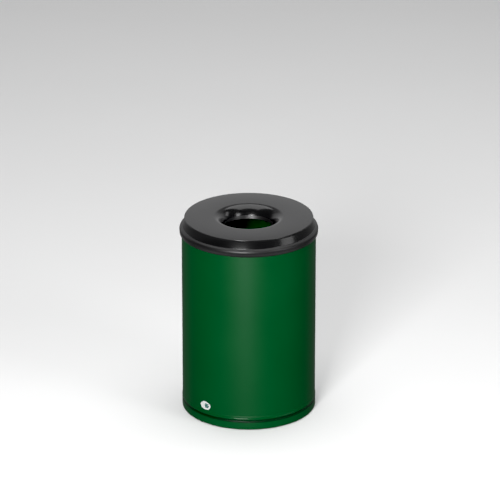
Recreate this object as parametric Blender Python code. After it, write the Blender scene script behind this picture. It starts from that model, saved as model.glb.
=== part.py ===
"""Round steel litter bin with a lift-off funnel lid.

Frame: +Z up, origin at the middle of the base where the foot pads meet the floor,
-Y is the front, where the oval label sits left of the middle. Metres throughout.
"""
import bmesh
import bpy
from math import acos, cos, degrees, hypot, pi, radians, sin

# Driving dimensions of the whole bin
BIN_HEIGHT = 0.490
BODY_RADIUS = 0.1614
BEAD_RADIUS = 0.1667
THROAT_RADIUS = 0.0560
BODY_SHEET = 0.0008
LID_SHEET = 0.0010
GAP = 0.0003
SEGMENTS = 64

# Lid, measured down from its flat top
LID_TOP_RADIUS = 0.1549
LID_CORNER = 0.0020
SKIRT_STRAIGHT = 0.0040
SKIRT_RADIUS = 0.1590
SKIRT_DROP = 0.0213
BEAD_DROP = 0.0302
BEAD_WIDTH = 0.0055
BEAD_RISE = 0.0073
BEAD_STARTS_AT = 78
LIP_RADIUS = 0.1662
LIP_DROP = 0.0388
FUNNEL_RADIUS = 0.0855
FUNNEL_DEPTH = 0.0295
FUNNEL_RISE = 0.0600

# Wall, its rolled rim and the wire inside the roll
RIM_ROLL = 0.0025
RIM_TOP = 0.4668
ROLL_OPENS_AT = 300
HEM_TOP = 0.0358
HEM_EDGE = 0.0296
HEM_BOTTOM = 0.0280
HEM_FLARE = 0.0010
HEM_STEP_OUT = 0.0005
HEM_STANDS_OUT = 0.0010
WALL_BOTTOM = 0.0240

# Base ring, floor and foot pads
RING_STANDS_OUT = 0.0008
RING_BOTTOM = 0.0012
RING_ROUND = 0.0022
RING_FLANGE_RADIUS = 0.1470
RING_SHOULDER = 0.0218
RING_SHOULDER_RISE = 0.0014
RING_TOP = 0.0460
FLOOR_HEIGHT = 0.0300
FLOOR_ROUND = 0.0030
FLOOR_FLANGE_TOP = 0.0440
FLOOR_STEP_RADIUS = 0.1300
FLOOR_STEP = 0.0025
FLOOR_STEP_WIDTH = 0.0040
PAD_COUNT = 4
PAD_RADIUS = 0.0070
PAD_RING_RADIUS = 0.1538

# Oval label on the wall, left of the front
LABEL_ANGLE = radians(-40.3)
LABEL_HEIGHT = 0.0478
LABEL_HALF_WIDTH = 0.0160
LABEL_HALF_HEIGHT = 0.0112
LABEL_THICKNESS = 0.0003
LABEL_SIDES = 32


def clear_scene():
    for old in list(bpy.data.objects):
        bpy.data.objects.remove(old)


def material(name, colour, roughness, metallic=0.0):
    made = bpy.data.materials.new(name)
    made.use_nodes = True
    shader = made.node_tree.nodes["Principled BSDF"]
    shader.inputs["Base Color"].default_value = (*colour, 1.0)
    shader.inputs["Roughness"].default_value = roughness
    shader.inputs["Metallic"].default_value = metallic
    return made


def place(name, bm, finish, parent):
    """Turn a bmesh into a named object with outward faces and smooth round sides."""
    bmesh.ops.remove_doubles(bm, verts=bm.verts, dist=1e-6)
    bmesh.ops.dissolve_degenerate(bm, edges=bm.edges, dist=1e-6)
    bmesh.ops.recalc_face_normals(bm, faces=bm.faces)
    mesh = bpy.data.meshes.new(name)
    bm.to_mesh(mesh)
    bm.free()
    mesh.shade_smooth()
    mesh.set_sharp_from_angle(angle=radians(35))
    mesh.materials.append(finish)
    made = bpy.data.objects.new(name, mesh)
    bpy.context.scene.collection.objects.link(made)
    made.parent = parent
    return made


def arc(centre_r, centre_z, radius_r, radius_z, start, end, steps):
    """Points of an arc from start to end degrees, counted from straight out."""
    turns = [radians(start + (end - start) * i / steps) for i in range(steps + 1)]
    return [(centre_r + radius_r * cos(t), centre_z + radius_z * sin(t)) for t in turns]


def thickened(path, thickness):
    """Close an open (r, z) path into the section of a sheet of even thickness.

    The sheet's material lies to the right of the path, seen along it.
    """
    sides = []
    for (r0, z0), (r1, z1) in zip(path, path[1:]):
        length = hypot(r1 - r0, z1 - z0)
        sides.append(((z1 - z0) / length, -(r1 - r0) / length))
    offset = []
    for i, (r, z) in enumerate(path):
        before = sides[max(i - 1, 0)]
        after = sides[min(i, len(sides) - 1)]
        share = 1.0 + before[0] * after[0] + before[1] * after[1]
        offset.append((r + thickness * (before[0] + after[0]) / share,
                       z + thickness * (before[1] + after[1]) / share))
    return path + offset[::-1]


def turned(name, section, finish, parent):
    """Spin a closed (r, z) section once round the bin's axis."""
    bm = bmesh.new()
    ring = [bm.verts.new((r, 0.0, z)) for r, z in section]
    edges = [bm.edges.new((ring[i - 1], ring[i])) for i in range(len(ring))]
    bmesh.ops.spin(bm, geom=ring + edges, cent=(0, 0, 0), axis=(0, 0, 1),
                   angle=2 * pi, steps=SEGMENTS, use_merge=True)
    return place(name, bm, finish, parent)


def body_shell(finish, parent):
    """The rolled wall: a stepped hem at the foot and an inward rolled rim at the top."""
    roll_r = BODY_RADIUS - RIM_ROLL
    roll_z = RIM_TOP - RIM_ROLL
    hem_radius = BODY_RADIUS + HEM_STANDS_OUT
    step_radius = BODY_RADIUS + HEM_STEP_OUT
    path = [(BODY_RADIUS, WALL_BOTTOM), (hem_radius, HEM_BOTTOM), (hem_radius, HEM_EDGE),
            (step_radius, HEM_EDGE + HEM_FLARE), (step_radius, HEM_TOP - HEM_FLARE),
            (BODY_RADIUS, HEM_TOP)]
    path += arc(roll_r, roll_z, RIM_ROLL, RIM_ROLL, 0, ROLL_OPENS_AT, 12)
    return turned("body_shell", thickened(path[::-1], BODY_SHEET), finish, parent)


def rim_wire(finish, parent):
    """The steel wire that the rim is rolled round."""
    radius = RIM_ROLL - BODY_SHEET - GAP
    section = arc(BODY_RADIUS - RIM_ROLL, RIM_TOP - RIM_ROLL, radius, radius, 0, 360, 8)[:-1]
    return turned("rim_wire", section, finish, parent)


def base_ring(finish, parent):
    """The standing ring: a floor flange, a rounded foot and a neck inside the wall."""
    outer = BODY_RADIUS + RING_STANDS_OUT
    neck = BODY_RADIUS - BODY_SHEET - GAP
    path = [(neck, RING_TOP), (neck, RING_SHOULDER + RING_SHOULDER_RISE), (outer, RING_SHOULDER)]
    path += arc(outer - RING_ROUND, RING_BOTTOM + RING_ROUND, RING_ROUND, RING_ROUND, 0, -90, 4)
    path += [(RING_FLANGE_RADIUS, RING_BOTTOM)]
    return turned("base_ring", thickened(path, BODY_SHEET), finish, parent)


def floor_pan(finish, parent):
    """The floor: a disc with a pressed step, turned up all round inside the ring's neck."""
    edge = BODY_RADIUS - 2 * BODY_SHEET - 2 * GAP
    low = FLOOR_HEIGHT - FLOOR_STEP
    path = [(0.0, FLOOR_HEIGHT), (FLOOR_STEP_RADIUS, FLOOR_HEIGHT),
            (FLOOR_STEP_RADIUS + FLOOR_STEP_WIDTH, low)]
    path += arc(edge - FLOOR_ROUND, low + FLOOR_ROUND, FLOOR_ROUND, FLOOR_ROUND, -90, 0, 4)
    path += [(edge, FLOOR_FLANGE_TOP)]
    section = thickened(path, -BODY_SHEET)
    return turned("floor_pan", section, finish, parent)


def foot_pad(number, finish, parent):
    """A round anti-slip pad under the base ring's flange."""
    height = RING_BOTTOM - GAP
    bm = bmesh.new()
    bmesh.ops.create_cone(bm, cap_ends=True, segments=24, radius1=PAD_RADIUS,
                          radius2=PAD_RADIUS, depth=height)
    pad = place(f"foot_pad_{number}", bm, finish, parent)
    turn = 2 * pi * (number - 0.5) / PAD_COUNT
    pad.location = (PAD_RING_RADIUS * cos(turn), PAD_RING_RADIUS * sin(turn), height / 2)
    return pad


def lid_head(finish, parent):
    """The drawn lid: funnel, flat top, flared skirt and a bulged collar that hides the rim."""
    top = BIN_HEIGHT
    turn = acos(1.0 - FUNNEL_DEPTH / FUNNEL_RISE)
    width = (FUNNEL_RADIUS - THROAT_RADIUS) / sin(turn)
    path = arc(FUNNEL_RADIUS, top - FUNNEL_RISE, width, FUNNEL_RISE, 90 + degrees(turn), 90, 7)
    path += arc(LID_TOP_RADIUS - LID_CORNER, top - LID_CORNER, LID_CORNER, LID_CORNER, 90, 0, 3)
    path += [(LID_TOP_RADIUS, top - SKIRT_STRAIGHT), (SKIRT_RADIUS, top - SKIRT_DROP)]
    path += arc(BEAD_RADIUS - BEAD_WIDTH, top - BEAD_DROP, BEAD_WIDTH, BEAD_RISE,
                BEAD_STARTS_AT, 0, 6)
    path += [(LIP_RADIUS, top - LIP_DROP)]
    return turned("lid_head", thickened(path, LID_SHEET), finish, parent)


def label_oval(finish, parent):
    """A thin oval label, bent to the wall."""
    inner = BODY_RADIUS + GAP
    bm = bmesh.new()
    rows = []
    for radius in (inner, inner + LABEL_THICKNESS):
        row = []
        for i in range(LABEL_SIDES):
            turn = 2 * pi * i / LABEL_SIDES
            around = LABEL_ANGLE + LABEL_HALF_WIDTH * cos(turn) / BODY_RADIUS
            height = LABEL_HEIGHT + LABEL_HALF_HEIGHT * sin(turn)
            row.append(bm.verts.new((radius * sin(around), -radius * cos(around), height)))
        rows.append(row)
    half = LABEL_SIDES // 2
    for row in rows:
        upper = row[:half + 1]
        lower = [row[-i % LABEL_SIDES] for i in range(half + 1)]
        for i in range(half):
            corners = [upper[i], upper[i + 1], lower[i + 1], lower[i]]
            bm.faces.new(list(dict.fromkeys(corners)))
    for i in range(LABEL_SIDES):
        bm.faces.new((rows[0][i - 1], rows[0][i], rows[1][i], rows[1][i - 1]))
    return place("label_oval", bm, finish, parent)


def build():
    clear_scene()
    green = material("green_powder_coat", (0.012, 0.110, 0.040), 0.42)
    black = material("black_powder_coat", (0.020, 0.020, 0.021), 0.38)
    steel = material("zinc_plated_wire", (0.55, 0.55, 0.55), 0.40, 1.0)
    rubber = material("pad_rubber", (0.025, 0.025, 0.025), 0.85)
    paper = material("label_film", (0.80, 0.82, 0.80), 0.35)

    standing = bpy.data.objects.new("bin", None)
    lifting = bpy.data.objects.new("lid", None)
    for empty in (standing, lifting):
        bpy.context.scene.collection.objects.link(empty)

    body_shell(green, standing)
    rim_wire(steel, standing)
    base_ring(green, standing)
    floor_pan(green, standing)
    for number in range(1, PAD_COUNT + 1):
        foot_pad(number, rubber, standing)
    label_oval(paper, standing)
    lid_head(black, lifting)


build()
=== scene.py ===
"""Looks of the round steel litter bin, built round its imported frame.

Everything is in metres in the frame's own axes: +Z up, -Y the front. The parts that
show are turned again here with fine, rounded sections, and take procedural finishes.
"""
import bmesh
import bpy
from math import acos, cos, degrees, hypot, pi, radians, sin
from mathutils import Matrix, Vector


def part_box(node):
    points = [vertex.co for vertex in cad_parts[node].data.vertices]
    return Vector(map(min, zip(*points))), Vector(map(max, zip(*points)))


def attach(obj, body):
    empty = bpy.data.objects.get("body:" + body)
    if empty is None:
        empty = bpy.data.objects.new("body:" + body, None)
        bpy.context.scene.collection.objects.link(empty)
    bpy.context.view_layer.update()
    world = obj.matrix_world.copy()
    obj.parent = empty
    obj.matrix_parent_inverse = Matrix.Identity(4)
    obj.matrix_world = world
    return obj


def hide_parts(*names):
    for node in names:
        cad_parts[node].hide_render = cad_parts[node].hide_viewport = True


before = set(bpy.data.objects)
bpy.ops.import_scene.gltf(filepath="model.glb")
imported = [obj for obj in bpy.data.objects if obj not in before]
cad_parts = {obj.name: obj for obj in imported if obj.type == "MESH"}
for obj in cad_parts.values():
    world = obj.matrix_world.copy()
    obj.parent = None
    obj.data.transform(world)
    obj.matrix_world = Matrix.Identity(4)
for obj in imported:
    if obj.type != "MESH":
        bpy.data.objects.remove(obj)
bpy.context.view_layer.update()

# Main sizes, read from the frame
LID_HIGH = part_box("lid_head")[1]
WALL_LOW, WALL_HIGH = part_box("body_shell")
RING_LOW, RING_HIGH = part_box("base_ring")
FLOOR_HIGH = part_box("floor_pan")[1]
LABEL_LOW, LABEL_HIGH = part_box("label_oval")
TOP = LID_HIGH.z
BEAD_RADIUS = LID_HIGH.x
HEM_STANDS_OUT = 0.0010
BODY_RADIUS = WALL_HIGH.x - HEM_STANDS_OUT
BODY_SHEET = 0.0008
LID_SHEET = 0.0010
GAP = 0.0003

# Lid, measured down from its flat top
LID_TOP_RADIUS = 0.1549
LID_CORNER = 0.0020
SKIRT_STRAIGHT = 0.0040
SKIRT_RADIUS = 0.1590
SKIRT_DROP = 0.0213
BEAD_DROP = 0.0302
BEAD_WIDTH = 0.0055
BEAD_RISE = 0.0073
BEAD_STARTS_AT = 78
LIP_RADIUS = 0.1662
LIP_DROP = 0.0388
THROAT_RADIUS = 0.0560
FUNNEL_RADIUS = 0.0855
FUNNEL_DEPTH = 0.0295
FUNNEL_RISE = 0.0600

# Wall
RIM_ROLL = 0.0025
ROLL_OPENS_AT = 300
HEM_TOP = 0.0358
HEM_EDGE = 0.0296
HEM_BOTTOM = 0.0280
HEM_FLARE = 0.0010
HEM_STEP_OUT = 0.0005
HEM_FADE = 0.0022
WELD_WIDTH = 0.0056
WELD_HEIGHT = 0.00022
WELD_PITCH = 0.0024
WELD_RIPPLE = 0.18
WELD_SUNK = 0.00004
WELD_CLEAR = 0.001

# Base ring, floor and pads
RING_ROUND = 0.0022
RING_FLANGE_RADIUS = 0.1470
RING_SHOULDER = 0.0218
RING_SHOULDER_RISE = 0.0014
FLOOR_ROUND = 0.0030
FLOOR_HEIGHT = 0.0300
FLOOR_STEP_RADIUS = 0.1300
FLOOR_STEP = 0.0025
FLOOR_STEP_WIDTH = 0.0040
PAD_COUNT = 4
PAD_EDGE = 0.0003

# Label
LABEL_HALF_WIDTH = 0.0160
LABEL_HALF_HEIGHT = 0.0112
LABEL_ANGLE = radians(-40.3)
LABEL_HEIGHT = (LABEL_LOW.z + LABEL_HIGH.z) / 2
LABEL_LIFT = 0.00010
LABEL_FILM = 0.00012
LABEL_BORDER = 0.0008
INK_LIFT = 0.00003
# Printed bars: middle to the right, middle up, half width
LABEL_BARS = ((0.0040, 0.0037, 0.0050), (0.0044, 0.0, 0.0064), (0.0038, -0.0037, 0.0052))
BAR_HALF_HEIGHT = 0.0016

# How round the bends of the sheets are
LID_BEND_ROUND = 0.0007
HEM_ROUND = 0.0001
HEM_RISE_ROUND = 0.0008
RING_SHOULDER_ROUND = 0.0007
FLOOR_STEP_ROUND = 0.0015

# Finish, by height: painted shade that darkens the groove over the ring, the hem's edge rubbed
# smooth, and the lid's bead scuffed up to the bend by the hands that lift it (the third number
# is the roughness)
# Painted shade: a band of height over the ring's groove, coloured a near-black green
PAINTED_SHADE_GROOVE = (0.0194, 0.0262)
PAINTED_SHADE_COLOUR = (0.0002, 0.010, 0.003)
PAINTED_SHADE_STRENGTH = 0.8
RUBBED_EDGE = (0.0292, 0.0312, 0.24)
SCUFFED_BEAD = (TOP - 0.0310, TOP - 0.0216, 0.42)
BAND_SOFT = 0.0008
# How far the clouding takes a coat's roughness down and up
SMOOTHER = 0.02
DULLER = 0.03
GREEN = (0.0003, 0.053, 0.0115)
GREEN_WORN = (0.0006, 0.057, 0.0125)
BLACK = (0.0085, 0.0085, 0.0088)
BLACK_WORN = (0.0100, 0.0100, 0.0103)

# Fineness of the meshes
FINE_SEGMENTS = 288
PAD_SEGMENTS = 48
CURVE_STEPS = 30
BEAD_STEPS = 24
CORNER_STEPS = 8
BEND_STEPS = 4
WELD_COLUMNS = 12
WELD_ROWS_TO_A_PITCH = 6
OVAL_STEPS = 48
OVAL_ROWS = 6
OVAL_TIP = 0.02
BAR_STEPS = 10
# Turns gentler than the first aren't rounded, and turns sharper than the second shade as edges
SLIGHT_BEND = radians(8)
SHARP_AT = radians(40)
# A rounding's share of the shorter side next to it, and of a sheet's half thickness
MOST_OF_A_SIDE = 0.45
END_ROUND = 0.98

# Camera and light
VIEW_ELEVATION = radians(22.30)
VIEW_DISTANCE = 9.0
VIEW_HEIGHT = 0.4024
VIEW_ASIDE = 0.00285
LENS = 269.35
SENSOR = 36.0
STUDIO_DARK = 0.10
BLACK_POINT = 0.012
# The backdrop paper and the dark above it, by the sine of the elevation
BACKDROP_TONES = ((0.0, 0.76), (0.455, 0.76), (0.505, 0.38), (0.65, 0.33), (0.85, 0.15))
# The floor's bounce, from straight down (0) to the horizon (1)
BOUNCE_TONES = ((0.15, 0.20), (0.42, 1.0), (0.60, 0.30), (1.0, 0.30))
BOUNCE_BEHIND = 0.22
# Where one turns into the other, by the y or the z of a direction
BACKDROP_BEGINS = (0.35, 0.6)
BOUNCE_DIMS = (-0.4, 0.3)
HORIZON = (-0.03, 0.03)
# Blue in the surroundings' greys, against their red and green
COOL = 1.01
# What the camera sees behind the floor, which fades to it between two distances
BACKGROUND = (0.66, 0.67, 0.67)
FLOOR_REACH = 14.0
FLOOR_FADES = (3.3, 6.5)


# ---------------------------------------------------------------- mesh helpers

def arc(centre_r, centre_z, radius_r, radius_z, start, end, steps):
    """Points of an arc from start to end degrees, counted from straight out."""
    turns = [radians(start + (end - start) * i / steps) for i in range(steps + 1)]
    return [(centre_r + radius_r * cos(t), centre_z + radius_z * sin(t)) for t in turns]


def fillet(path, radius):
    """Round every corner of an open (r, z) path that turns by more than a slight bend."""
    rounded = [path[0]]
    for before, corner, after in zip(path, path[1:], path[2:]):
        back = Vector(before) - Vector(corner)
        ahead = Vector(after) - Vector(corner)
        if back.angle(-ahead) < SLIGHT_BEND:
            rounded.append(corner)
            continue
        reach = min(radius, back.length * MOST_OF_A_SIDE, ahead.length * MOST_OF_A_SIDE)
        start = Vector(corner) + back.normalized() * reach
        end = Vector(corner) + ahead.normalized() * reach
        for i in range(BEND_STEPS + 1):
            t = i / BEND_STEPS
            bend = start * (1 - t) ** 2 + Vector(corner) * 2 * t * (1 - t) + end * t ** 2
            rounded.append((bend.x, bend.y))
    return rounded + [path[-1]]


def thickened(path, thickness):
    """Close an open (r, z) path into a sheet's section with half-round edges.

    The sheet's material lies to the right of the path, seen along it.
    """
    sides = []
    for (r0, z0), (r1, z1) in zip(path, path[1:]):
        length = hypot(r1 - r0, z1 - z0)
        sides.append(((z1 - z0) / length, -(r1 - r0) / length))
    offset = []
    for i, (r, z) in enumerate(path):
        before = sides[max(i - 1, 0)]
        after = sides[min(i, len(sides) - 1)]
        share = 1.0 + before[0] * after[0] + before[1] * after[1]
        offset.append((r + thickness * (before[0] + after[0]) / share,
                       z + thickness * (before[1] + after[1]) / share))
    return rounded_end(offset[0], path[0]) + path[1:-1] \
        + rounded_end(path[-1], offset[-1]) + offset[-2:0:-1]


def rounded_end(first, last):
    """Points of the half circle that joins two faces of a sheet, kept inside its length."""
    middle = (Vector(first) + Vector(last)) / 2
    across = Vector(first) - middle
    ahead = Vector((across.y, -across.x))
    points = []
    for i in range(BEND_STEPS + 1):
        turn = pi * i / BEND_STEPS
        point = middle + across * cos(turn) + ahead * (sin(turn) - 1.0) * END_ROUND
        points.append((point.x, point.y))
    return points


def turned(name, section, segments=FINE_SEGMENTS):
    """Spin a closed (r, z) section once round the bin's axis into a new object."""
    bm = bmesh.new()
    ring = [bm.verts.new((r, 0.0, z)) for r, z in section]
    edges = [bm.edges.new((ring[i - 1], ring[i])) for i in range(len(ring))]
    bmesh.ops.spin(bm, geom=ring + edges, cent=(0, 0, 0), axis=(0, 0, 1),
                   angle=2 * pi, steps=segments, use_merge=True)
    return made_object(name, bm)


def made_object(name, bm):
    """Turn a bmesh into a named object with outward faces and smooth round sides."""
    bmesh.ops.remove_doubles(bm, verts=bm.verts, dist=1e-6)
    bmesh.ops.dissolve_degenerate(bm, edges=bm.edges, dist=1e-7)
    bmesh.ops.recalc_face_normals(bm, faces=bm.faces)
    mesh = bpy.data.meshes.new(name)
    bm.to_mesh(mesh)
    bm.free()
    mesh.shade_smooth()
    mesh.set_sharp_from_angle(angle=SHARP_AT)
    made = bpy.data.objects.new(name, mesh)
    bpy.context.scene.collection.objects.link(made)
    return made


# ------------------------------------------------------------ material helpers

def add_node(tree, kind, settings=None, **inputs):
    """A node with its properties and the values of its sockets set by name."""
    node = tree.nodes.new(kind)
    for name, value in (settings or {}).items():
        setattr(node, name, value)
    for name, value in inputs.items():
        node.inputs[name.replace("_", " ")].default_value = value
    return node


def new_material(name):
    made = bpy.data.materials.new(name)
    made.use_nodes = True
    tree = made.node_tree
    return made, tree, tree.nodes["Principled BSDF"]


def noise(tree, source, scale, detail=2.0):
    made = add_node(tree, "ShaderNodeTexNoise", Scale=scale, Detail=detail)
    tree.links.new(source, made.inputs["Vector"])
    return made.outputs["Fac"]


def spread(tree, value, low, high, from_low=0.3, from_high=0.7):
    """Stretch a value to low..high; 0.3 to 0.7 is about what a noise covers."""
    made = add_node(tree, "ShaderNodeMapRange")
    for name, number in (("From Min", from_low), ("From Max", from_high),
                         ("To Min", low), ("To Max", high)):
        made.inputs[name].default_value = number
    tree.links.new(value, made.inputs["Value"])
    return made.outputs["Result"]


def blend_colours(tree, factor, first, second):
    """Mix two colours; each may be a fixed colour or another node's output."""
    made = add_node(tree, "ShaderNodeMix", {"data_type": "RGBA"})
    tree.links.new(factor, made.inputs["Factor"])
    for socket, colour in ((made.inputs[6], first), (made.inputs[7], second)):
        if isinstance(colour, tuple):
            socket.default_value = (*colour, 1.0)
        else:
            tree.links.new(colour, socket)
    return made.outputs[2]


def blend_values(tree, factor, first, second):
    """Mix another node's output with a fixed number."""
    made = add_node(tree, "ShaderNodeMix", {"data_type": "FLOAT"})
    tree.links.new(factor, made.inputs[0])
    tree.links.new(first, made.inputs[2])
    made.inputs[3].default_value = second
    return made.outputs[0]


def bump(tree, height, strength, distance, below=None):
    """A bump, on top of the bump below it if there is one."""
    made = add_node(tree, "ShaderNodeBump", Strength=strength, Distance=distance)
    tree.links.new(height, made.inputs["Height"])
    if below is not None:
        tree.links.new(below, made.inputs["Normal"])
    return made.outputs["Normal"]


def band(tree, height, low, high, soft):
    """1 between two heights, fading to 0 over soft above and below them."""
    made = add_node(tree, "ShaderNodeMath", {"operation": "MULTIPLY"})
    tree.links.new(spread(tree, height, 0.0, 1.0, low - soft, low), made.inputs[0])
    tree.links.new(spread(tree, height, 1.0, 0.0, high, high + soft), made.inputs[1])
    return made.outputs["Value"]


def powder_coat(name, colour, worn, roughness, specular, peel, handled, painted_shade_band=None):
    """Powder coat: orange peel with a fine grain, and faint clouding.

    handled is a band of height with a roughness of its own; the last argument is a band of
    height whose colour is darkened with painted shade.
    """
    made, tree, shader = new_material(name)
    place = tree.nodes.new("ShaderNodeTexCoord").outputs["Object"]
    clouds = noise(tree, place, scale=9.0, detail=3.0)
    specks = noise(tree, place, scale=900.0, detail=1.0)
    height = add_node(tree, "ShaderNodeSeparateXYZ")
    tree.links.new(place, height.inputs[0])
    colour_now = blend_colours(tree, spread(tree, clouds, 0.0, 1.0), colour, worn)
    if painted_shade_band:
        # Painted shade: inside the band the colour is pulled towards the dark shade colour
        painted_shade_mask = spread(tree, band(tree, height.outputs["Z"], *painted_shade_band, BAND_SOFT), 0.0, PAINTED_SHADE_STRENGTH, 0, 1)
        colour_now = blend_colours(tree, painted_shade_mask, colour_now, PAINTED_SHADE_COLOUR)
    tree.links.new(colour_now, shader.inputs["Base Color"])
    rough_now = spread(tree, clouds, roughness - SMOOTHER, roughness + DULLER)
    low, high, handled_roughness = handled
    edge = band(tree, height.outputs["Z"], low, high, BAND_SOFT)
    tree.links.new(blend_values(tree, edge, rough_now, handled_roughness),
                   shader.inputs["Roughness"])
    shader.inputs["Specular IOR Level"].default_value = specular
    orange_peel = bump(tree, noise(tree, place, scale=420.0), strength=peel, distance=0.0001)
    grain = bump(tree, specks, strength=peel / 2, distance=0.00005, below=orange_peel)
    tree.links.new(grain, shader.inputs["Normal"])
    return made


def green_powder_coat():
    # The green coat's colour carries painted shade in the groove over the ring
    return powder_coat("green_powder_coat", GREEN, GREEN_WORN, roughness=0.42, specular=0.22,
                       peel=0.10, handled=RUBBED_EDGE, painted_shade_band=PAINTED_SHADE_GROOVE)


def black_powder_coat():
    return powder_coat("black_powder_coat", BLACK, BLACK_WORN, roughness=0.18, specular=0.5,
                       peel=0.03, handled=SCUFFED_BEAD)


def wire_steel():
    made, tree, shader = new_material("drawn_wire")
    place = tree.nodes.new("ShaderNodeTexCoord").outputs["Object"]
    tone = blend_colours(tree, noise(tree, place, scale=60.0), (0.42, 0.43, 0.45),
                         (0.62, 0.62, 0.60))
    tree.links.new(tone, shader.inputs["Base Color"])
    shader.inputs["Metallic"].default_value = 1.0
    dulled = spread(tree, noise(tree, place, scale=300.0), 0.32, 0.5)
    tree.links.new(dulled, shader.inputs["Roughness"])
    return made


def pad_rubber():
    made, tree, shader = new_material("pad_rubber")
    place = tree.nodes.new("ShaderNodeTexCoord").outputs["Object"]
    dusty = blend_colours(tree, noise(tree, place, scale=350.0, detail=3.0),
                          (0.016, 0.016, 0.017), (0.045, 0.043, 0.040))
    tree.links.new(dusty, shader.inputs["Base Color"])
    shader.inputs["Roughness"].default_value = 0.85
    grain = bump(tree, noise(tree, place, scale=2200.0), strength=0.4, distance=0.0001)
    tree.links.new(grain, shader.inputs["Normal"])
    return made


def label_film():
    made, tree, shader = new_material("label_film")
    place = tree.nodes.new("ShaderNodeTexCoord").outputs["Object"]
    tone = blend_colours(tree, noise(tree, place, scale=120.0), (0.72, 0.76, 0.73),
                         (0.82, 0.84, 0.81))
    tree.links.new(tone, shader.inputs["Base Color"])
    shader.inputs["Roughness"].default_value = 0.35
    grain = bump(tree, noise(tree, place, scale=500.0), strength=0.1, distance=0.0001)
    tree.links.new(grain, shader.inputs["Normal"])
    return made


def label_ink():
    made, tree, shader = new_material("label_ink")
    place = tree.nodes.new("ShaderNodeTexCoord").outputs["Object"]
    tone = blend_colours(tree, noise(tree, place, scale=400.0), (0.003, 0.10, 0.085),
                         (0.006, 0.14, 0.11))
    tree.links.new(tone, shader.inputs["Base Color"])
    shader.inputs["Roughness"].default_value = 0.4
    return made


# -------------------------------------------------------------------- the bin

def finish_piece(piece, material, body, slot, *replaced):
    """Paint a piece, ride it on its body, and hide the CAD nodes that it replaces."""
    piece.data.materials.clear()
    piece.data.materials.append(material)
    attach(piece, body)
    if replaced:
        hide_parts(*replaced)


def lid_section():
    """Funnel, flat top, flared skirt and bulged collar as one drawn sheet."""
    skirt = [(LID_TOP_RADIUS, TOP - LID_CORNER), (LID_TOP_RADIUS, TOP - SKIRT_STRAIGHT),
             (SKIRT_RADIUS, TOP - SKIRT_DROP)]
    bead = arc(BEAD_RADIUS - BEAD_WIDTH, TOP - BEAD_DROP, BEAD_WIDTH, BEAD_RISE,
               BEAD_STARTS_AT, 0, BEAD_STEPS)
    turn = acos(1.0 - FUNNEL_DEPTH / FUNNEL_RISE)
    width = (FUNNEL_RADIUS - THROAT_RADIUS) / sin(turn)
    path = arc(FUNNEL_RADIUS, TOP - FUNNEL_RISE, width, FUNNEL_RISE, 90 + degrees(turn), 90,
               CURVE_STEPS)
    path += arc(LID_TOP_RADIUS - LID_CORNER, TOP - LID_CORNER, LID_CORNER, LID_CORNER, 90, 0,
                CORNER_STEPS)
    path += fillet(skirt + bead[:2], LID_BEND_ROUND)[1:-1] + bead[1:]
    path += [(LIP_RADIUS, TOP - LIP_DROP)]
    return thickened(path, LID_SHEET)


def wall_section():
    """The hem's flared foot, its rise to the plain wall, and the rim rolled inward."""
    roll = arc(BODY_RADIUS - RIM_ROLL, WALL_HIGH.z - RIM_ROLL, RIM_ROLL, RIM_ROLL,
               0, ROLL_OPENS_AT, CURVE_STEPS)
    step = BODY_RADIUS + HEM_STEP_OUT
    middle = (step, (HEM_EDGE + HEM_TOP) / 2)
    foot = [(BODY_RADIUS, WALL_LOW.z), (WALL_HIGH.x, HEM_BOTTOM), (WALL_HIGH.x, HEM_EDGE),
            (step, HEM_EDGE + HEM_FLARE), middle]
    rise = [middle, (step, HEM_TOP - HEM_FADE), (BODY_RADIUS, HEM_TOP), roll[0]]
    path = fillet(foot, HEM_ROUND) + fillet(rise, HEM_RISE_ROUND)[1:] + roll[1:]
    return thickened(path[::-1], BODY_SHEET)


def ring_section():
    """The neck inside the wall, the shoulder, the outer band, and the foot's flange."""
    outer = RING_HIGH.x
    neck = BODY_RADIUS - BODY_SHEET - GAP
    path = [(neck, RING_HIGH.z), (neck, RING_SHOULDER + RING_SHOULDER_RISE),
            (outer, RING_SHOULDER), (outer, RING_LOW.z + RING_ROUND)]
    foot = arc(outer - RING_ROUND, RING_LOW.z + RING_ROUND, RING_ROUND, RING_ROUND, 0, -90,
               CORNER_STEPS)
    path = fillet(path, RING_SHOULDER_ROUND) + foot[1:] + [(RING_FLANGE_RADIUS, RING_LOW.z)]
    return thickened(path, BODY_SHEET)


def floor_section():
    """The floor from its middle out: a pressed step, and an edge turned up."""
    edge = FLOOR_HIGH.x
    low = FLOOR_HEIGHT - FLOOR_STEP
    path = [(0.0, FLOOR_HEIGHT), (FLOOR_STEP_RADIUS, FLOOR_HEIGHT),
            (FLOOR_STEP_RADIUS + FLOOR_STEP_WIDTH, low), (edge - FLOOR_ROUND, low)]
    corner = arc(edge - FLOOR_ROUND, low + FLOOR_ROUND, FLOOR_ROUND, FLOOR_ROUND, -90, 0,
                 CORNER_STEPS)
    path = fillet(path, FLOOR_STEP_ROUND) + corner[1:] + [(edge, FLOOR_HIGH.z)]
    section = thickened(path, -BODY_SHEET)
    return [(max(r, 0.0), z) for r, z in section]


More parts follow.
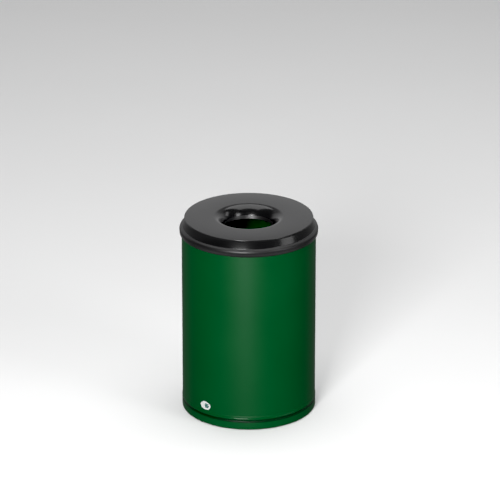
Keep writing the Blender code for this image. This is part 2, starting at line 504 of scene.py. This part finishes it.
def weld_strip():
    """The wall's lengthwise weld at the back: a low, rippled ridge under the paint."""
    low, high = HEM_TOP + WELD_CLEAR, WALL_HIGH.z - 2 * RIM_ROLL
    rows = int((high - low) / (WELD_PITCH / WELD_ROWS_TO_A_PITCH))
    bm = bmesh.new()
    grid = []
    for i in range(rows + 1):
        z = low + (high - low) * i / rows
        ripple = 1.0 - WELD_RIPPLE + WELD_RIPPLE * cos(2 * pi * z / WELD_PITCH)
        row = []
        for j in range(WELD_COLUMNS + 1):
            across = 2.0 * j / WELD_COLUMNS - 1.0
            lift = WELD_HEIGHT * ripple * (1 - across ** 2) ** 2 - WELD_SUNK
            radius = BODY_RADIUS + lift
            turn = pi / 2 + across * WELD_WIDTH / 2 / BODY_RADIUS
            row.append(bm.verts.new((radius * cos(turn), radius * sin(turn), z)))
        grid.append(row)
    for lower, upper in zip(grid, grid[1:]):
        for j in range(WELD_COLUMNS):
            bm.faces.new((lower[j], lower[j + 1], upper[j + 1], upper[j]))
    return made_object("wall_weld", bm)


def wall_point(radius, around, height):
    """A point at an angle round the wall from the front, + to the right."""
    return (radius * sin(around), -radius * cos(around), height)


def curved_patch(name, outline, inner, outer, steps):
    """A thin closed patch on the wall, between two radii.

    outline(t) gives its points, bottom to top, at a share t of the way across, each as
    an angle round the wall and a height.
    """
    bm = bmesh.new()
    layers = []
    for radius in (inner, outer):
        columns = []
        for i in range(steps + 1):
            columns.append([bm.verts.new(wall_point(radius, a, h)) for a, h in outline(i / steps)])
        layers.append(columns)
    rows = len(layers[0][0])
    for columns in layers:
        for a, b in zip(columns, columns[1:]):
            for j in range(rows - 1):
                bm.faces.new((a[j], a[j + 1], b[j + 1], b[j]))
    low, high = layers
    for i in range(steps):
        for j in (0, rows - 1):
            bm.faces.new((low[i][j], low[i + 1][j], high[i + 1][j], high[i][j]))
    for i in (0, steps):
        for j in range(rows - 1):
            bm.faces.new((low[i][j], low[i][j + 1], high[i][j + 1], high[i][j]))
    return made_object(name, bm)


def oval_outline(half_width, half_height):
    """An oval for curved_patch, blunt at its two tips so that no face closes up."""
    def station(t):
        turn = pi * (1 - t)
        across = half_width * cos(turn)
        reach = half_height * max(sin(turn), OVAL_TIP)
        around = LABEL_ANGLE + across / BODY_RADIUS
        shares = [k / OVAL_ROWS for k in range(-OVAL_ROWS, OVAL_ROWS + 1)]
        return [(around, LABEL_HEIGHT + reach * share) for share in shares]
    return station


def bar_outline(centre_x, centre_z, half_width):
    """A printed bar for curved_patch, placed from the middle of the label."""
    def station(t):
        around = LABEL_ANGLE + (centre_x + half_width * (2 * t - 1)) / BODY_RADIUS
        height = LABEL_HEIGHT + centre_z
        return [(around, height - BAR_HALF_HEIGHT), (around, height + BAR_HALF_HEIGHT)]
    return station


def round_label(film, ink):
    """An oval sticker: a teal backing that shows as a border, a white face, plain bars."""
    back = BODY_RADIUS + LABEL_LIFT
    face = back + LABEL_FILM
    front = face + INK_LIFT
    border = curved_patch("label_border", oval_outline(LABEL_HALF_WIDTH, LABEL_HALF_HEIGHT),
                          back, face, OVAL_STEPS)
    finish_piece(border, ink, "bin", "label_film", "label_oval")
    white = curved_patch("label", oval_outline(LABEL_HALF_WIDTH - LABEL_BORDER,
                                               LABEL_HALF_HEIGHT - LABEL_BORDER),
                         face, front, OVAL_STEPS)
    finish_piece(white, film, "bin", "label_film")
    for number, bar_place in enumerate(LABEL_BARS, 1):
        bar = curved_patch(f"label_bar_{number}", bar_outline(*bar_place),
                           front, front + INK_LIFT, BAR_STEPS)
        finish_piece(bar, ink, "bin", "label_film")


def foot_pads(rubber):
    """Round pads with a small bevel, each in its CAD node's place."""
    for number in range(1, PAD_COUNT + 1):
        node = f"foot_pad_{number}"
        low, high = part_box(node)
        centre = (low + high) / 2
        radius = (high.x - low.x) / 2
        profile = [(0.0, high.z), (radius - PAD_EDGE, high.z), (radius, high.z - PAD_EDGE),
                   (radius, low.z + PAD_EDGE), (radius - PAD_EDGE, low.z), (0.0, low.z)]
        pad = turned(f"pad_{number}", profile, PAD_SEGMENTS)
        pad.data.transform(Matrix.Translation((centre.x, centre.y, 0)))
        finish_piece(pad, rubber, "bin", "pad_rubber", node)


def rim_wire(steel):
    """The wire is hidden in the rim's roll, so its CAD mesh stays and takes new steel."""
    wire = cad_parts["rim_wire"]
    wire.data.materials.clear()
    wire.data.materials.append(steel)


def build_bin():
    green, black = green_powder_coat(), black_powder_coat()
    steel, rubber, film, ink = wire_steel(), pad_rubber(), label_film(), label_ink()

    finish_piece(turned("lid", lid_section()), black, "lid", "black_powder_coat", "lid_head")
    finish_piece(turned("wall", wall_section()), green, "bin", "green_powder_coat", "body_shell")
    finish_piece(weld_strip(), green, "bin", "green_powder_coat")
    finish_piece(turned("standing_ring", ring_section()), green, "bin", "green_powder_coat",
                 "base_ring")
    finish_piece(turned("floor", floor_section()), green, "bin", "green_powder_coat", "floor_pan")
    foot_pads(rubber)
    rim_wire(steel)
    round_label(film, ink)


# ------------------------------------------------------- floor, light, camera

def studio_floor():
    """A pale floor that fades into the backdrop well away from the bin.

    It takes light and shadow, and the bin's bounce and gloss come from the world instead.
    """
    bm = bmesh.new()
    bmesh.ops.create_grid(bm, x_segments=1, y_segments=1, size=FLOOR_REACH)
    plane = made_object("studio_floor", bm)
    made, tree, shader = new_material("pale_floor")
    place = tree.nodes.new("ShaderNodeTexCoord").outputs["Object"]
    tone = blend_colours(tree, noise(tree, place, scale=2.0), (0.80, 0.80, 0.80),
                         (0.82, 0.82, 0.82))
    tree.links.new(tone, shader.inputs["Base Color"])
    shader.inputs["Roughness"].default_value = 0.9
    shader.inputs["Specular IOR Level"].default_value = 0.0
    away = add_node(tree, "ShaderNodeVectorMath", {"operation": "LENGTH"})
    tree.links.new(place, away.inputs[0])
    backdrop = add_node(tree, "ShaderNodeEmission", Color=(*BACKGROUND, 1.0))
    fade = tree.nodes.new("ShaderNodeMixShader")
    tree.links.new(spread(tree, away.outputs["Value"], 0.0, 1.0, *FLOOR_FADES), fade.inputs[0])
    tree.links.new(shader.outputs[0], fade.inputs[1])
    tree.links.new(backdrop.outputs[0], fade.inputs[2])
    tree.links.new(fade.outputs[0], tree.nodes["Material Output"].inputs["Surface"])
    plane.data.materials.append(made)
    plane.visible_diffuse = False
    plane.visible_glossy = False


def toward(azimuth, elevation, distance):
    """A point seen from the bin at that azimuth (0 is the front, + to the right)."""
    a, e = radians(azimuth), radians(elevation)
    return Vector((sin(a) * cos(e), -cos(a) * cos(e), sin(e))) * distance


def soft_light(name, azimuth, elevation, distance, width, height, power, aim=0.25):
    """A rectangle of light turned to a point over the middle of the bin's base."""
    data = bpy.data.lights.new(name, "AREA")
    data.shape = "RECTANGLE"
    data.size, data.size_y, data.energy = width, height, power
    lamp = bpy.data.objects.new(name, data)
    bpy.context.scene.collection.objects.link(lamp)
    target = Vector((0, 0, aim))
    lamp.location = target + toward(azimuth, elevation, distance)
    lamp.rotation_euler = (target - lamp.location).to_track_quat("-Z", "Y").to_euler()
    lamp.visible_camera = False
    return lamp


def tone_ramp(tree, value, tones):
    """Greys along a 0 to 1 value."""
    made = tree.nodes.new("ShaderNodeValToRGB")
    stops = made.color_ramp.elements
    while len(stops) < len(tones):
        stops.new(1.0)
    for stop, (place, tone) in zip(stops, tones):
        stop.position = place
        stop.color = (tone, tone, tone * COOL, 1.0)
    tree.links.new(value, made.inputs[0])
    return made.outputs["Color"]


def studio_world():
    """Dark surroundings, as the gloss of the bin sees them, and a plain pale background.

    Behind the bin stands the pale backdrop. Below the horizon is the floor's bounce,
    which dims towards the back.
    """
    world = bpy.data.worlds.new("studio")
    bpy.context.scene.world = world
    world.use_nodes = True
    tree = world.node_tree
    surroundings = tree.nodes["Background"]
    direction = tree.nodes.new("ShaderNodeTexCoord").outputs["Generated"]
    parts = tree.nodes.new("ShaderNodeSeparateXYZ")
    tree.links.new(direction, parts.inputs[0])
    height, depth = parts.outputs["Z"], parts.outputs["Y"]
    paper = tone_ramp(tree, height, BACKDROP_TONES)
    above = blend_colours(tree, spread(tree, depth, 0.0, 1.0, *BACKDROP_BEGINS),
                          (STUDIO_DARK,) * 3, paper)
    bounce = tone_ramp(tree, spread(tree, height, 0.0, 1.0, -1.0, 0.0), BOUNCE_TONES)
    below = blend_colours(tree, spread(tree, depth, 0.0, 1.0, *BOUNCE_DIMS),
                          bounce, (BOUNCE_BEHIND,) * 3)
    raised = spread(tree, height, 0.0, 1.0, *HORIZON)
    tree.links.new(blend_colours(tree, raised, below, above), surroundings.inputs["Color"])
    seen = add_node(tree, "ShaderNodeBackground", Color=(*BACKGROUND, 1.0))
    ray = tree.nodes.new("ShaderNodeLightPath")
    mix = tree.nodes.new("ShaderNodeMixShader")
    tree.links.new(ray.outputs["Is Camera Ray"], mix.inputs[0])
    tree.links.new(surroundings.outputs[0], mix.inputs[1])
    tree.links.new(seen.outputs[0], mix.inputs[2])
    tree.links.new(mix.outputs[0], tree.nodes["World Output"].inputs["Surface"])


def shine_only_on(lamp, *names):
    """Link a lamp to the named pieces, so that it lights nothing else."""
    lit = bpy.data.collections.new(f"{lamp.name}_lit")
    for name in names:
        lit.objects.link(bpy.data.objects[name])
    lamp.light_linking.receiver_collection = lit


def studio_look():
    """Plain colours with a slightly raised black point, as in a catalogue picture."""
    view = bpy.context.scene.view_settings
    view.view_transform = "Standard"
    view.use_curve_mapping = True
    view.curve_mapping.black_level = (BLACK_POINT,) * 3
    view.curve_mapping.update()


def camera():
    """A long lens that looks down at the bin from the front."""
    data = bpy.data.cameras.new("camera")
    data.sensor_width, data.lens = SENSOR, LENS
    data.clip_end = 60.0
    made = bpy.data.objects.new("camera", data)
    bpy.context.scene.collection.objects.link(made)
    target = Vector((VIEW_ASIDE, 0, VIEW_HEIGHT))
    back = Vector((0, -cos(VIEW_ELEVATION), sin(VIEW_ELEVATION)))
    made.location = target + back * VIEW_DISTANCE
    made.rotation_euler = (-back).to_track_quat("-Z", "Y").to_euler()
    bpy.context.scene.camera = made


def build_studio():
    studio_floor()
    soft_light("key", -14, 27, distance=2.8, width=0.8, height=0.7, power=72)
    soft_light("side", 52, 30, distance=2.6, width=0.7, height=1.1, power=13)
    soft_light("far_side", 112, 35, distance=2.6, width=0.5, height=0.8, power=2.5)
    soft_light("right_card", 67, 8, distance=2.2, width=0.9, height=0.5, power=3)
    soft_light("overhead", 180, 81, distance=4.6, width=4.8, height=4.8, power=170)
    front = soft_light("body_front", -5.5, 5, distance=3.4, width=1.15, height=1.2, power=59,
                       aim=0.15)
    back = soft_light("body_back", 190, 14, distance=3.4, width=1.6, height=1.2, power=32,
                      aim=0.2)
    for lamp in (front, back):
        shine_only_on(lamp, "wall", "wall_weld", "standing_ring")
    studio_world()
    camera()
    studio_look()


build_bin()
build_studio()
